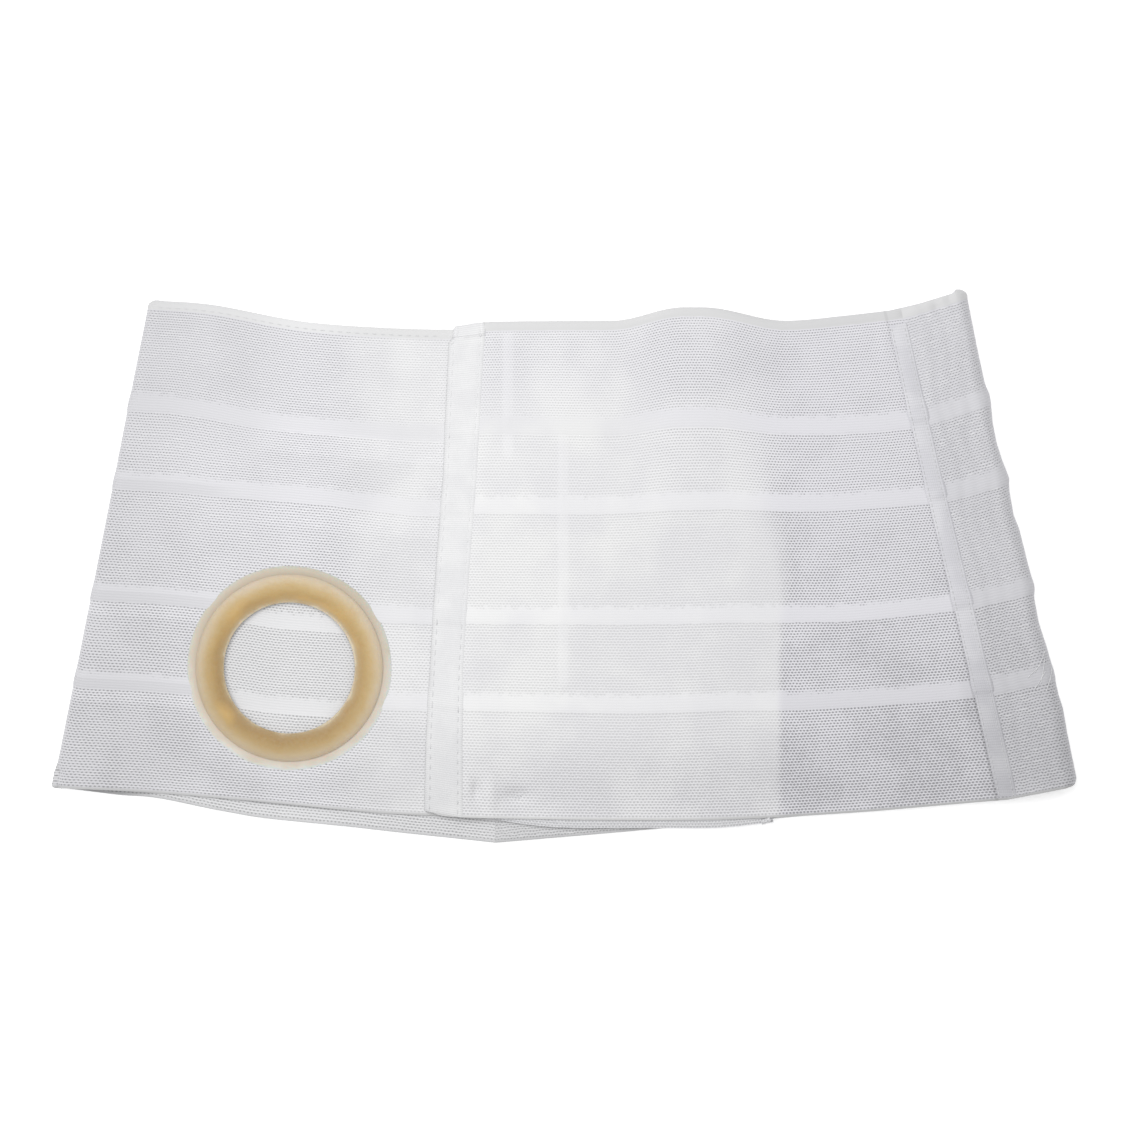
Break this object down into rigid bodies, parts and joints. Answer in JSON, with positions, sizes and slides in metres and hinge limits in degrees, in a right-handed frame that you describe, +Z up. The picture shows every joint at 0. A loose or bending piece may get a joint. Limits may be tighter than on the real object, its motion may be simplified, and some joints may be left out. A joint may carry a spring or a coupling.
{
  "type": "ostomy support belt",
  "caption": "Wide white mesh elastic support belt, fastened into a tapering loop and laid flat, with a tan stoma ring set in its front panel and a bound hook-and-loop closure.",
  "frame": {"origin": "centre of the outline, on the surface that the belt lies on", "axes": "+Z up from the back layer through the ring, +Y to the narrow upper edge, +X to the wearer's left side as seen from the front"},
  "size_m": [0.474, 0.2552, 0.0183],
  "materials": {
    "mesh_elastic": "open knitted elastic with smooth bands",
    "loop_cloth": "soft loop-faced elastic",
    "hook_tape": "fine moulded hooks",
    "woven_tape": "plain woven tape, stitched",
    "ring_vinyl": "soft translucent moulded vinyl, satin",
    "flange_vinyl": "thin translucent film, satin"
  },
  "bodies": {
    "root": {"left_panel": "mesh_elastic", "back_panel": "mesh_elastic", "right_panel": "mesh_elastic", "closure_flap": "loop_cloth", "hook_patch": "hook_tape", "closure_strip": "woven_tape", "side_seam_tape": "woven_tape", "stoma_ring": "ring_vinyl", "ring_flange": "flange_vinyl"}
  },
  "joints": []
}
